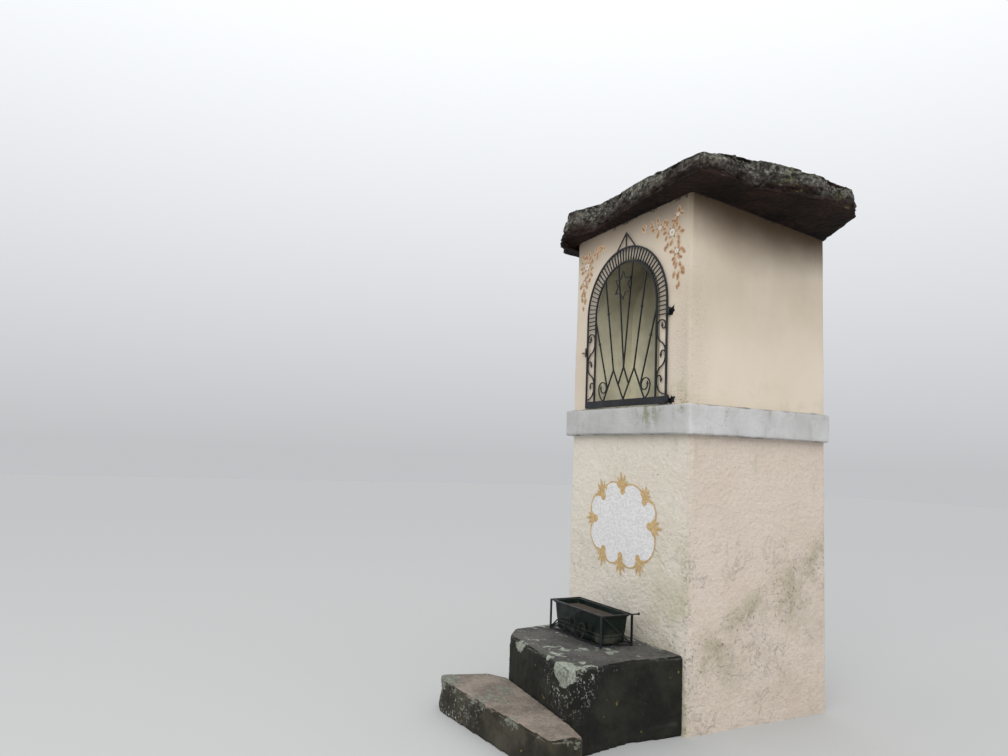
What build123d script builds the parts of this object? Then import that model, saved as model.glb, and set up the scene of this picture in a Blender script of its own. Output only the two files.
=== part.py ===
from build123d import *
import os
from math import atan2, degrees, hypot, sqrt

# A wayside shrine: a plastered block of masonry with a gated niche, under one rough stone.
# Millimetres. The origin is the middle of the plinth's underside, the front looks along -Y.

os.makedirs("parts", exist_ok=True)

# Masonry
block_width = 1100
block_depth = 1035
plinth_height = 1520
corner_round = 14
ledge_height = 160
ledge_projection = 40
ledge_back_projection = 5
ledge_corner_round = 30
niche_block_height = 1150
roof_fall_back = 100
roof_fall_left = 35

# Niche and gate share one centre line and the centre of their arches
niche_centre = -10
niche_half_width = 306
niche_spring = 582
niche_depth = 280

# Roof stone: its outline seen from above, from the middle of the block, widest at its waist
roof_waist = 40
roof_blank_height = 250
roof_foot_share = 0.983
roof_head_share = 0.945
roof_front_height = 286
roof_front_fall_right = 62
roof_front_rise_back = 200
roof_back_height = 188
roof_back_fall_right = 24
roof_back_fall_back = 67
roof_lip_drop = 45
roof_lip_gap = 12
roof_lip_front = -628
roof_lip_corner = -558
roof_lip_back = -128
roof_lip_left = -690
roof_outline = [
    (-722, -578), (-560, -664), (-300, -578), (-40, -616), (215, -646), (566, -668),
    (765, -662), (806, -488), (800, -290), (884, -94), (926, 74), (938, 312),
    (896, 386), (690, 482), (540, 550), (120, 576), (-330, 556), (-640, 576),
    (-742, 282), (-700, -138),
]

# Step stones, their outlines measured from the foot of the front wall
upper_step_height = 395
lower_step_height = 165
step_corner_round = 38
step_top_chamfer = 12
upper_step_front_left = (-176, -627)
upper_step_front_right = (577, -710)
upper_step_left_side = [(-345, 0), (-335, -308), (-297, -528)]
upper_step_right_side = [(506, -319), (522, -146), (530, 0)]
lower_step_front = [(-300, -700), (-369, -952), (-252, -990), (726, -913), (731, -742)]

# Gate
gate_half_width = 387
gate_band = 87
frame_bar = 10
gate_thickness = 8
gate_standoff = 8
gate_lift = 8
bottom_bar_height = 42
bottom_bar_thickness = 6
rod_width = 7
ornament_width = 6
ornament_thickness = 6
arch_bar_count = 41
straight_bar_rows = 3
straight_bar_pitch = 25

# Work inside the gate, from the middle of its foot
fan_outer_top = 555
fan_middle_top = 200
fan_inner_top = 70
fan_cross_height = 243
zigzag_half_width = 195
zigzag_peak = 100
zigzag_peak_height = 229
diamond_corner = 50
outer_foot_height = 120
collar_length = 14
collar_width = 15
outer_collar_height = 403
middle_collar_height = 582
spiral_radius = 39
spiral_inner_radius = 28
spiral_height = 124
spiral_foot = 206
star_radius = 90
star_offset = -15
star_height = 735
star_thickness = 4
finial_foot = 88
finial_rise = 87

# Vines between the posts: where each one runs along a post, and the curls that leave it
vine_foot = 62
vine_low_bend = 158
vine_middle_bend = 272
vine_middle_end = 296
vine_high_bend = 408
vine_head = 442
vine_end_radius = 15
curl_radius = 19
curl_starts = (148, 286)
leaf_outline = [(-3, 0), (4, 9), (8, 4), (21, 0), (8, -4), (4, -9)]

# Hinges and latch
hinge_reach = 15
hinge_standoff = 20
pin_radius = 6
pin_clearance = 0.3
knuckle_radius = 11
eye_height = 30
strap_thickness = 6
upper_eye_foot = 505
lower_eye_foot = 22
shank_width = 10
wall_plate_thickness = 2
wall_leaf_outline = [
    (3, -4), (19, 6), (14, 18), (23, 33), (11, 36), (0, 58),
    (-11, 36), (-23, 33), (-14, 18), (-19, 6), (-3, -4),
]
upper_leaf_lean = 30
lower_leaf_lean = 60
pin_end = 6
latch_height = 365
latch_plate_width = 26
latch_plate_height = 56
latch_plate_thickness = 5
latch_slot_width = 8
latch_slot_height = 26
catch_width = 7
catch_reach = 20
catch_length = 24
catch_gap = 12

# Planter on the upper step
cradle_centre = 20
cradle_length = 509
cradle_depth = 205
cradle_height = 165
cradle_offset = 228
cradle_foot = 6
wire = 6
cradle_post_width = 14
cradle_tail = 42
cradle_tail_ball = 7
centre_bend_radius = 60
lyre_low = 49
lyre_rise_radius = 52
lyre_radius = 30
lyre_inner_radius = 21
lyre_foot_height = 40
trough_length = 470
trough_depth = 168
trough_height = 150
trough_draw = 13
trough_corner = 9
trough_wall = 4
trough_rim = 7
trough_rim_height = 12
soil_drop = 22

# Joints between pieces that rest on each other
seat_gap = 0.3

front_y = -block_depth / 2
ledge_top = plinth_height + ledge_height
gate_y = front_y - gate_standoff - gate_thickness / 2
hinge_x = niche_centre + gate_half_width + hinge_reach
hinge_y = front_y - hinge_standoff

gate_plane = Plane(origin=(niche_centre, gate_y, ledge_top), x_dir=(1, 0, 0), z_dir=(0, -1, 0))
wall_plane = Plane(origin=(niche_centre, front_y, ledge_top), x_dir=(1, 0, 0), z_dir=(0, -1, 0))

roof_along = Vector(block_width, 0, roof_fall_left)
roof_back = Vector(0, block_depth, -roof_fall_back)
roof_middle = ledge_top + niche_block_height - (roof_fall_back + roof_fall_left) / 2
roof_plane = Plane(origin=(0, 0, roof_middle), x_dir=roof_along, z_dir=roof_along.cross(roof_back))


def save(part, name):
    """Labels one piece and writes it as its own file."""
    part.label = name
    export_step(part, f"parts/{name}.step")


def round_headed(half_width, foot):
    """A shape with a half-round head, standing at foot above the ledge."""
    with BuildSketch() as shape:
        with Locations((0, (foot + niche_spring) / 2)):
            Rectangle(2 * half_width, niche_spring - foot)
        with Locations((0, niche_spring)):
            Circle(half_width)
    return shape.sketch


# Lower block and the ledge on it
with BuildPart() as plinth:
    with BuildSketch():
        Rectangle(block_width, block_depth)
    extrude(amount=plinth_height)
    fillet(plinth.edges().filter_by(Axis.Z), corner_round)
save(plinth.part, "plinth")

with BuildPart() as ledge:
    with BuildSketch(Plane.XY.offset(plinth_height)):
        with Locations((0, (ledge_back_projection - ledge_projection) / 2)):
            Rectangle(
                block_width + 2 * ledge_projection,
                block_depth + ledge_projection + ledge_back_projection,
            )
    extrude(amount=ledge_height)
    fillet(ledge.edges().filter_by(Axis.Z), ledge_corner_round)
save(ledge.part, "ledge")

# Upper block: a pier on each side of the niche, the head over it, the mass behind it
niche_left = niche_centre - niche_half_width
niche_right = niche_centre + niche_half_width
spring_z = ledge_top + niche_spring
tall = niche_block_height + roof_fall_back + roof_fall_left

with BuildPart() as left_pier:
    with BuildSketch(Plane.XY.offset(ledge_top)):
        with Locations((-block_width / 2, front_y)):
            Rectangle(niche_left + block_width / 2, niche_depth, align=(Align.MIN, Align.MIN))
    extrude(amount=niche_spring)
    fillet(left_pier.edges().filter_by(Axis.Z).sort_by(Axis.X)[0:2].sort_by(Axis.Y)[0], corner_round)
save(left_pier.part, "left_pier")

with BuildPart() as right_pier:
    with BuildSketch(Plane.XY.offset(ledge_top)):
        with Locations((block_width / 2, front_y)):
            Rectangle(block_width / 2 - niche_right, niche_depth, align=(Align.MAX, Align.MIN))
    extrude(amount=niche_spring)
    fillet(right_pier.edges().filter_by(Axis.Z).sort_by(Axis.X)[2:4].sort_by(Axis.Y)[0], corner_round)
save(right_pier.part, "right_pier")

with BuildPart() as niche_head:
    with BuildSketch(Plane.XY.offset(spring_z)):
        with Locations((0, front_y)):
            Rectangle(block_width, niche_depth, align=(Align.CENTER, Align.MIN))
    extrude(amount=tall - niche_spring)
    fillet(niche_head.edges().filter_by(Axis.Z).group_by(Axis.Y)[0], corner_round)
    with BuildSketch(wall_plane):
        with Locations((0, niche_spring)):
            Circle(niche_half_width)
    extrude(amount=-niche_depth, mode=Mode.SUBTRACT)
    split(bisect_by=roof_plane, keep=Keep.BOTTOM)
save(niche_head.part, "niche_head")

with BuildPart() as niche_back:
    with BuildSketch(Plane.XY.offset(ledge_top)):
        with Locations((0, front_y + niche_depth)):
            Rectangle(block_width, block_depth - niche_depth, align=(Align.CENTER, Align.MIN))
    extrude(amount=tall)
    fillet(niche_back.edges().filter_by(Axis.Z).group_by(Axis.Y)[-1], corner_round)
    split(bisect_by=roof_plane, keep=Keep.BOTTOM)
save(niche_back.part, "niche_back")


# Roof stone: drawn in below and above its waist, and hewn off on top by two sloping cuts
def hewn(height, fall_right, rise_back):
    """The plane of a cut, height above the roof's middle, with its slopes across the stone's size."""
    along = Vector(block_width, 0, -fall_right)
    back = Vector(0, block_depth, rise_back)
    local = Plane(origin=(0, 0, height), x_dir=along, z_dir=along.cross(back))
    return Plane(roof_plane.location * local.location)


with BuildPart() as roof_slab:
    for lift, share in ((seat_gap, roof_foot_share), (roof_waist, 1), (roof_blank_height, roof_head_share)):
        with BuildSketch(roof_plane.offset(lift)):
            with BuildLine():
                Polyline([(x * share, y * share) for x, y in roof_outline], close=True)
            make_face()
    loft(ruled=True)
    split(bisect_by=hewn(roof_front_height, roof_front_fall_right, roof_front_rise_back), keep=Keep.BOTTOM)
    split(bisect_by=hewn(roof_back_height, roof_back_fall_right, -roof_back_fall_back), keep=Keep.BOTTOM)
    with BuildSketch(roof_plane.offset(roof_waist)):
        with BuildLine():
            lip_right = -block_width / 2 - roof_lip_gap
            Polyline(
                (roof_lip_left, roof_lip_corner), (lip_right, roof_lip_front),
                (lip_right, roof_lip_back), (roof_lip_left, roof_lip_back), close=True,
            )
        make_face()
    extrude(amount=-roof_waist - roof_lip_drop)
save(roof_slab.part, "roof_slab")

# Step stones
with BuildPart() as upper_step:
    with BuildSketch():
        with BuildLine():
            sides = upper_step_left_side + [upper_step_front_left, upper_step_front_right]
            Polyline([(x, front_y - seat_gap + y) for x, y in sides + upper_step_right_side], close=True)
        make_face()
    extrude(amount=upper_step_height)
    fillet(upper_step.edges().filter_by(Axis.Z).group_by(Axis.Y)[0:3], step_corner_round)
    chamfer(upper_step.faces().sort_by(Axis.Z)[-1].edges().group_by(Axis.Y)[0:-1], step_top_chamfer)
save(upper_step.part, "upper_step")

with BuildPart() as lower_step:
    with BuildSketch():
        with BuildLine():
            seam = [upper_step_front_right, upper_step_front_left]
            corners = [(x, y - seat_gap) for x, y in seam] + lower_step_front
            Polyline([(x, front_y - seat_gap + y) for x, y in corners], close=True)
        make_face()
    extrude(amount=lower_step_height)
    fillet(lower_step.edges().filter_by(Axis.Z).group_by(Axis.Y)[0:3], step_corner_round)
    chamfer(lower_step.faces().sort_by(Axis.Z)[-1].edges().group_by(Axis.Y)[0], step_top_chamfer)
save(lower_step.part, "lower_step")


# Gate frame: an outer and an inner round-headed ring on one flat bottom bar
bar_top = gate_lift + bottom_bar_height
gate_inner_half_width = gate_half_width - gate_band
outer_shape = round_headed(gate_half_width, gate_lift)
outer_hole = round_headed(gate_half_width - frame_bar, gate_lift)
inner_foot = bar_top + seat_gap
inner_shape = round_headed(gate_inner_half_width, inner_foot)
inner_hole = round_headed(gate_inner_half_width - frame_bar, inner_foot)
inside = round_headed(gate_inner_half_width - frame_bar - seat_gap, bar_top + seat_gap)
band_inner = gate_inner_half_width + seat_gap
band_outer = gate_half_width - frame_bar - seat_gap
band_middle = (band_inner + band_outer) / 2
vine_inner = band_inner + ornament_width / 2
vine_outer = band_outer - ornament_width / 2

with BuildPart() as gate_outer_frame:
    with BuildSketch(gate_plane):
        add(outer_shape)
        add(outer_hole, mode=Mode.SUBTRACT)
    extrude(amount=gate_thickness / 2, both=True)
save(gate_outer_frame.part, "gate_outer_frame")

with BuildPart() as gate_inner_frame:
    with BuildSketch(gate_plane):
        add(inner_shape)
        add(inner_hole, mode=Mode.SUBTRACT)
    extrude(amount=gate_thickness / 2, both=True)
save(gate_inner_frame.part, "gate_inner_frame")

with BuildPart() as gate_bottom_bar:
    with BuildSketch(gate_plane):
        with Locations((0, gate_lift + bottom_bar_height / 2)):
            Rectangle(2 * band_outer, bottom_bar_height)
    extrude(amount=bottom_bar_thickness / 2, both=True)
save(gate_bottom_bar.part, "gate_bottom_bar")

# Plain bars that stand between the two arches like rays, and a few below their spring
with BuildPart() as gate_arch_bars:
    with BuildSketch(gate_plane):
        with Locations((0, niche_spring)):
            with PolarLocations(band_middle, arch_bar_count, 0, 180, endpoint=True):
                Rectangle(band_outer - band_inner + 2 * frame_bar, ornament_width)
            Circle(band_outer, mode=Mode.INTERSECT)
            Circle(band_inner, mode=Mode.SUBTRACT)
        for row in range(1, straight_bar_rows + 1):
            for side in (-1, 1):
                with Locations((side * band_middle, niche_spring - row * straight_bar_pitch)):
                    Rectangle(band_outer - band_inner, ornament_width)
    extrude(amount=ornament_thickness / 2, both=True)
save(gate_arch_bars.part, "gate_arch_bars")

# A leaf, its stem at the origin and its point along +X
with BuildSketch() as leaf:
    with BuildLine():
        Polyline(leaf_outline, close=True)
    make_face()


def leaf_at(line):
    """The leaf on the end of a line, pointing the way the line goes."""
    end, ahead = line @ 1, line % 1
    return leaf.sketch.moved(Location((end.X, end.Y, 0), (0, 0, degrees(atan2(ahead.Y, ahead.X)))))


# Vine on the right: it winds from post to post, curls over at its head and bears two side curls
lower_crossing = (vine_low_bend + vine_middle_bend) / 2
upper_crossing = (vine_middle_end + vine_high_bend) / 2
with BuildPart() as gate_right_vine:
    with BuildSketch(gate_plane):
        with BuildLine():
            foot = TangentArc(
                (vine_outer, vine_foot), (vine_inner, vine_foot + vine_outer - vine_inner), tangent=(-1, 0),
            )
            low_run = Line(foot @ 1, (vine_inner, vine_low_bend))
            across = TangentArc(low_run @ 1, (band_middle, lower_crossing), tangent=(0, 1))
            TangentArc(across @ 1, (vine_outer, vine_middle_bend), tangent=across % 1)
            middle_run = Line((vine_outer, vine_middle_bend), (vine_outer, vine_middle_end))
            back = TangentArc(middle_run @ 1, (band_middle, upper_crossing), tangent=(0, 1))
            TangentArc(back @ 1, (vine_inner, vine_high_bend), tangent=back % 1)
            high_run = Line((vine_inner, vine_high_bend), (vine_inner, vine_head))
            over = TangentArc(high_run @ 1, (vine_outer, vine_head), tangent=(0, 1))
            head = TangentArc(over @ 1, (vine_outer - 2 * vine_end_radius, vine_head), tangent=(0, -1))
        trace(line_width=ornament_width)
        add(leaf_at(head))
        for start, post, side in zip(curl_starts, (vine_inner, vine_outer), (1, -1)):
            with BuildLine():
                curl = TangentArc((post, start), (post + side * 2 * curl_radius, start), tangent=(0, 1))
            trace(line_width=ornament_width)
            add(leaf_at(curl))
    extrude(amount=ornament_thickness / 2, both=True)
save(gate_right_vine.part, "gate_right_vine")

with BuildPart() as gate_left_vine:
    mirror(gate_right_vine.part, about=Plane.YZ.offset(niche_centre))
save(gate_left_vine.part, "gate_left_vine")

# Zigzag on the bottom bar
with BuildLine() as zigzag_path:
    Polyline(
        (-zigzag_half_width, bar_top), (-zigzag_peak, zigzag_peak_height), (0, bar_top),
        (zigzag_peak, zigzag_peak_height), (zigzag_half_width, bar_top),
    )

with BuildPart() as gate_zigzag:
    with BuildSketch(gate_plane):
        trace(zigzag_path.line, line_width=rod_width)
        add(inside, mode=Mode.INTERSECT)
    extrude(amount=rod_width / 2, both=True)
save(gate_zigzag.part, "gate_zigzag")

# Six rods that fan out from the zigzag to the inner arch
inner_arch = gate_inner_half_width - frame_bar / 2


def on_arch(x):
    """Height of the inner arch at a distance from the middle."""
    return niche_spring + sqrt(inner_arch ** 2 - x ** 2)


leg_slope = (zigzag_peak_height - bar_top) / (zigzag_half_width - zigzag_peak)
outer_foot = zigzag_half_width - (outer_foot_height - bar_top) / leg_slope
diamond_height = bar_top + diamond_corner * (zigzag_peak_height - bar_top) / zigzag_peak
outer_rod = (outer_foot, outer_foot_height), (inner_arch, fan_outer_top)
middle_rod = (zigzag_peak, zigzag_peak_height), (fan_middle_top, on_arch(fan_middle_top))

with BuildPart() as gate_fan_rods:
    with BuildSketch(gate_plane):
        for side in (-1, 1):
            with BuildLine():
                Polyline(
                    (side * fan_inner_top, on_arch(fan_inner_top)),
                    (0, fan_cross_height), (-side * diamond_corner, diamond_height),
                )
            trace(line_width=rod_width)
            for (foot, top), height in ((outer_rod, outer_collar_height), (middle_rod, middle_collar_height)):
                with BuildLine():
                    Line((side * foot[0], foot[1]), (side * top[0], top[1]))
                trace(line_width=rod_width)
                lean = (top[0] - foot[0]) / (top[1] - foot[1])
                with Locations((side * (foot[0] + lean * (height - foot[1])), height)):
                    Rectangle(collar_width, collar_length, rotation=-side * degrees(atan2(lean, 1)))
        trace(zigzag_path.line, line_width=rod_width + 2 * seat_gap, mode=Mode.SUBTRACT)
        add(inside, mode=Mode.INTERSECT)
    extrude(amount=rod_width / 2, both=True)
save(gate_fan_rods.part, "gate_fan_rods")

# One spiral beside each outer leg of the zigzag, standing on the bottom bar, with a leaf inside
leg_clearance = spiral_radius + ornament_width / 2 + rod_width / 2 + seat_gap
leg_x = zigzag_half_width - (spiral_height - bar_top) / leg_slope
spiral_x = leg_x + leg_clearance * hypot(1, 1 / leg_slope)
for name, side in (("gate_left_spiral", -1), ("gate_right_spiral", 1)):
    with BuildPart() as spiral:
        with BuildSketch(gate_plane):
            outside = (side * (spiral_x + spiral_radius), spiral_height)
            inside_end = (side * (spiral_x - spiral_radius + 2 * spiral_inner_radius), spiral_height)
            with BuildLine():
                TangentArc(outside, (side * spiral_foot, bar_top + seat_gap), tangent=(0, -1))
                over = TangentArc(outside, (side * (spiral_x - spiral_radius), spiral_height), tangent=(0, 1))
                turn_in = TangentArc(over @ 1, inside_end, tangent=(0, -1))
            trace(line_width=ornament_width)
            add(leaf_at(turn_in))
            add(inside, mode=Mode.INTERSECT)
        extrude(amount=ornament_thickness / 2, both=True)
    save(spiral.part, name)

# Star of two crossed triangles, on the front of the two inner rods
star_plane = gate_plane.offset(rod_width / 2 + seat_gap)
with BuildPart() as gate_star:
    with BuildSketch(star_plane):
        for turn in (90, 270):
            with Locations((star_offset, star_height)):
                RegularPolygon(star_radius, 3, rotation=turn)
        for turn in (90, 270):
            with Locations((star_offset, star_height)):
                RegularPolygon(star_radius - 2 * ornament_width, 3, rotation=turn, mode=Mode.SUBTRACT)
    extrude(amount=star_thickness)
save(gate_star.part, "gate_star")

# Finial over the crown of the outer arch
finial_foot_z = niche_spring + sqrt(gate_half_width ** 2 - finial_foot ** 2)
finial_top_z = niche_spring + gate_half_width + finial_rise
crown_shape = round_headed(gate_half_width + seat_gap, gate_lift)
with BuildPart() as gate_finial:
    with BuildSketch(gate_plane):
        with BuildLine():
            Polyline((-finial_foot, finial_foot_z), (0, finial_top_z), (finial_foot, finial_foot_z))
        trace(line_width=ornament_width)
        with BuildLine():
            Line((0, niche_spring + gate_half_width - frame_bar), (0, finial_top_z))
        trace(line_width=ornament_width)
        add(crown_shape, mode=Mode.SUBTRACT)
    extrude(amount=ornament_thickness / 2, both=True)
save(gate_finial.part, "gate_finial")

# Eyes on the gate, each with a short strap to the outer post
post_edge = niche_centre + gate_half_width + seat_gap
for name, foot in (("gate_upper_eye", upper_eye_foot), ("gate_lower_eye", lower_eye_foot)):
    with BuildPart() as eye_part:
        with BuildSketch(Plane.XY.offset(ledge_top + foot)):
            with Locations((hinge_x, hinge_y)):
                Circle(knuckle_radius)
            with Locations(((post_edge + hinge_x) / 2, gate_y)):
                Rectangle(hinge_x - post_edge, strap_thickness)
            with Locations((hinge_x, hinge_y)):
                Circle(pin_radius + pin_clearance, mode=Mode.SUBTRACT)
        extrude(amount=eye_height)
    save(eye_part.part, name)

# Pintles: an upright pin in each eye, a square shank to the wall and a leaf of plate on the wall
plate_plane = Plane(origin=(hinge_x, front_y, ledge_top), x_dir=(1, 0, 0), z_dir=(0, -1, 0))
with BuildSketch() as wall_leaf:
    with BuildLine():
        Polyline(wall_leaf_outline, close=True)
    make_face()

for name, foot, lean in (
    ("upper_pintle", upper_eye_foot, upper_leaf_lean),
    ("lower_pintle", lower_eye_foot, lower_leaf_lean),
):
    shank_z = foot - seat_gap - shank_width / 2
    with BuildPart() as pintle:
        with BuildSketch(Plane.XY.offset(ledge_top + shank_z)):
            with Locations((hinge_x, hinge_y)):
                Circle(pin_radius)
        extrude(amount=foot - shank_z + eye_height + pin_end)
        with BuildSketch(plate_plane):
            with Locations((0, shank_z)):
                Rectangle(shank_width, shank_width)
        extrude(amount=hinge_standoff)
        with BuildSketch(plate_plane.offset(seat_gap)):
            add(wall_leaf.sketch.moved(Location((0, shank_z, 0), (0, 0, -lean))))
        extrude(amount=wall_plate_thickness)
    save(pintle.part, name)

# Latch plate on the left outer post, and the bent rod on the wall that catches it
post_middle = gate_half_width - frame_bar / 2
with BuildPart() as gate_latch_plate:
    with BuildSketch(gate_plane.offset(gate_thickness / 2 + seat_gap)):
        with Locations((-post_middle, latch_height)):
            Rectangle(latch_plate_width, latch_plate_height)
            Rectangle(latch_slot_width, latch_slot_height, mode=Mode.SUBTRACT)
    extrude(amount=latch_plate_thickness)
save(gate_latch_plate.part, "gate_latch_plate")

catch_x = -post_middle - latch_plate_width / 2 - catch_gap - catch_length
with BuildPart() as wall_catch:
    with BuildSketch(wall_plane.offset(seat_gap)):
        with Locations((catch_x, latch_height)):
            Rectangle(catch_width, catch_width)
    extrude(amount=catch_reach)
    with BuildSketch(Plane.YZ.offset(niche_centre + catch_x)):
        with Locations((front_y - catch_reach, ledge_top + latch_height)):
            Rectangle(catch_width, catch_width)
    extrude(amount=catch_length)
save(wall_catch.part, "wall_catch")

# Trough: tapered, open on top, with a rim
step_top = upper_step_height
cradle_y = front_y - cradle_offset
trough_foot = step_top + cradle_foot + wire + seat_gap
trough_top = trough_foot + trough_height


def tapered(top_z, bottom_z, inset):
    """A tub tapered like the trough's outside, drawn in by inset, between two heights."""
    with BuildPart() as tub:
        for z in (top_z, bottom_z):
            draw = (trough_top - z) * trough_draw / trough_height + inset
            with BuildSketch(Plane.XY.offset(z)):
                with Locations((cradle_centre, cradle_y)):
                    RectangleRounded(trough_length - 2 * draw, trough_depth - 2 * draw, trough_corner)
        loft(ruled=True)
    return tub.part


trough_outside = tapered(trough_top, trough_foot, 0)
trough_inside = tapered(trough_top, trough_foot + trough_wall, trough_wall)
with BuildPart() as planter_trough:
    add(trough_outside)
    with BuildSketch(Plane.XY.offset(trough_top - trough_rim_height)):
        with Locations((cradle_centre, cradle_y)):
            rim_length = trough_length + 2 * trough_rim
            RectangleRounded(rim_length, trough_depth + 2 * trough_rim, trough_corner + trough_rim)
    extrude(amount=trough_rim_height)
    add(trough_inside, mode=Mode.SUBTRACT)
save(planter_trough.part, "planter_trough")

soil = tapered(trough_top - soil_drop, trough_foot + trough_wall + seat_gap, trough_wall + seat_gap)
with BuildPart() as planter_soil:
    add(soil)
save(planter_soil.part, "planter_soil")

# Cradle: four panels of flat posts and thin rails round the trough, on three base wires
low_rail = cradle_foot + wire / 2
high_rail = cradle_height - wire / 2
half_length = cradle_length / 2
post_x = half_length - cradle_post_width / 2
bend_top = high_rail - wire / 2
lyre_low_height = low_rail + wire / 2
panel_y = cradle_depth / 2 - wire / 2


def panel_frame():
    """Two posts and two rails of a long panel."""
    with BuildSketch() as frame:
        for side in (-1, 1):
            with Locations((side * post_x, cradle_height / 2)):
                Rectangle(cradle_post_width, cradle_height)
        for height in (low_rail, high_rail):
            with Locations((0, height)):
                Rectangle(2 * post_x, wire)
    return frame.sketch


long_frame = panel_frame()
front_plane = Plane(origin=(cradle_centre, cradle_y - panel_y, step_top), x_dir=(1, 0, 0), z_dir=(0, -1, 0))
with BuildPart() as cradle_front:
    with BuildSketch(front_plane):
        add(long_frame)
        with BuildLine():
            centre_bar = Line((0, low_rail), (0, bend_top - centre_bend_radius))
            TangentArc(centre_bar @ 1, (centre_bend_radius, bend_top), tangent=(0, 1))
        trace(line_width=wire)
        for side in (-1, 1):
            with BuildLine():
                low = (side * lyre_low, lyre_low_height)
                TangentArc(low, (0, lyre_foot_height), tangent=(-side, 0))
                rise_end = (side * (lyre_low + lyre_rise_radius), lyre_low_height + lyre_rise_radius)
                rise = TangentArc(low, rise_end, tangent=(side, 0))
                over_end = (rise_end[0] - side * 2 * lyre_radius, rise_end[1])
                over = TangentArc(rise @ 1, over_end, tangent=(0, 1))
                inner_end = (over_end[0] + side * 2 * lyre_inner_radius, over_end[1])
                TangentArc(over @ 1, inner_end, tangent=(0, -1))
            trace(line_width=wire)
    extrude(amount=wire / 2, both=True)
save(cradle_front.part, "cradle_front")

# The back panel is plain, and its right post carries a short tail with a ball
back_plane = Plane(origin=(cradle_centre, cradle_y + panel_y, step_top), x_dir=(1, 0, 0), z_dir=(0, -1, 0))
tail_x = cradle_centre + half_length - wire
tail_plane = Plane(origin=(tail_x, cradle_y + panel_y, step_top), x_dir=(0, 1, 0), z_dir=(1, 0, 0))
with BuildPart() as cradle_back:
    with BuildSketch(back_plane):
        add(long_frame)
    extrude(amount=wire / 2, both=True)
    with BuildSketch(tail_plane):
        with Locations((cradle_tail / 2, high_rail)):
            Rectangle(cradle_tail, wire)
        with Locations((cradle_tail, high_rail)):
            Circle(cradle_tail_ball)
    extrude(amount=wire)
save(cradle_back.part, "cradle_back")

# Ends: two rails and a brace, and on the left a second, flatter brace
reach = cradle_depth / 2 - wire - seat_gap
end_frame = [((-reach, low_rail), (reach, low_rail)), ((-reach, high_rail), (reach, high_rail))]
half_rise = (low_rail + high_rail) / 2
left_braces = [((-reach, low_rail), (reach, high_rail)), ((-reach, low_rail), (reach, half_rise))]
right_braces = [((-reach, high_rail), (reach, low_rail))]
for name, side, braces in (("cradle_left_end", -1, left_braces), ("cradle_right_end", 1, right_braces)):
    end_x = cradle_centre + side * (half_length - wire / 2)
    end_plane = Plane(origin=(end_x, cradle_y, step_top), x_dir=(0, 1, 0), z_dir=(1, 0, 0))
    with BuildPart() as end:
        with BuildSketch(end_plane):
            for bar_from, bar_to in end_frame + braces:
                with BuildLine():
                    Line(bar_from, bar_to)
                trace(line_width=wire)
            with Locations((0, half_rise)):
                Rectangle(2 * reach, high_rail - low_rail + wire, mode=Mode.INTERSECT)
        extrude(amount=wire / 2, both=True)
    save(end.part, name)

with BuildPart() as cradle_base:
    with BuildSketch(Plane.XY.offset(step_top + cradle_foot)):
        with Locations((cradle_centre, cradle_y)):
            with GridLocations(cradle_length / 4, 1, 3, 1):
                Rectangle(wire, cradle_depth - 2 * wire - 2 * seat_gap)
    extrude(amount=wire)
save(cradle_base.part, "cradle_base")
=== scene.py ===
# %% [markdown]
# # A wayside shrine in plaster, stone and iron
# The shrine is a plastered block on a plinth, with a gated niche under one rough stone.
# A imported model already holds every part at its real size, so this script only dresses it.
# Metres are used throughout, +Z is up, and the gate looks along -Y.

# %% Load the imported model
from math import atan2, ceil, cos, degrees, hypot, pi, radians, sin
from random import Random

import bmesh
import bpy
from mathutils import Matrix, Vector, noise
from mathutils.bvhtree import BVHTree


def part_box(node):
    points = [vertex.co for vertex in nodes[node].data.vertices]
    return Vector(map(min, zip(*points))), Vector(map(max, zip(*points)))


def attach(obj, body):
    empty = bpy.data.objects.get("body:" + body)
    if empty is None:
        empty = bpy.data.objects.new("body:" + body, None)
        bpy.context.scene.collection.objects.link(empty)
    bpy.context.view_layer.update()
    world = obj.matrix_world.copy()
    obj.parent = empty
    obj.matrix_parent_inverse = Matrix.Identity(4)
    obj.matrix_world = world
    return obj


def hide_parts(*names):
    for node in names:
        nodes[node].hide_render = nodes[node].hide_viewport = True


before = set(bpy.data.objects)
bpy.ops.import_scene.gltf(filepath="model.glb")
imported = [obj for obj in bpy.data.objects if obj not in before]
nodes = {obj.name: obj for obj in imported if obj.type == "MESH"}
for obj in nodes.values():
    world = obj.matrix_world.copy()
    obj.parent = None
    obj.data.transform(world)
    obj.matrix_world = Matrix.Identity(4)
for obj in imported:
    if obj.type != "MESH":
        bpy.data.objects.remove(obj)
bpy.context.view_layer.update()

# %% [markdown]
# ## The viewpoint
# The shrine is seen from the front right and from chest height, through a short lens.
# A camera can be aimed by eye or with a constraint. Here its turn is worked out from three
# angles, because the view is also tilted sideways a little, which a constraint can't say.

# %% Camera


def in_scene(name, data):
    """A new object round its data, linked to the scene."""
    made = bpy.data.objects.new(name, data)
    bpy.context.scene.collection.objects.link(made)
    return made


eye = Vector((3.590, -3.2325, 1.369))
heading, rise, tilt = radians(62.1), radians(5.9), radians(2.2)
lens_length = 27.04

forward = Vector((-sin(heading) * cos(rise), cos(heading) * cos(rise), sin(rise)))
level_right = Vector((cos(heading), sin(heading), 0))
level_up = level_right.cross(forward)
right = cos(tilt) * level_right + sin(tilt) * level_up
up = cos(tilt) * level_up - sin(tilt) * level_right

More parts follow.
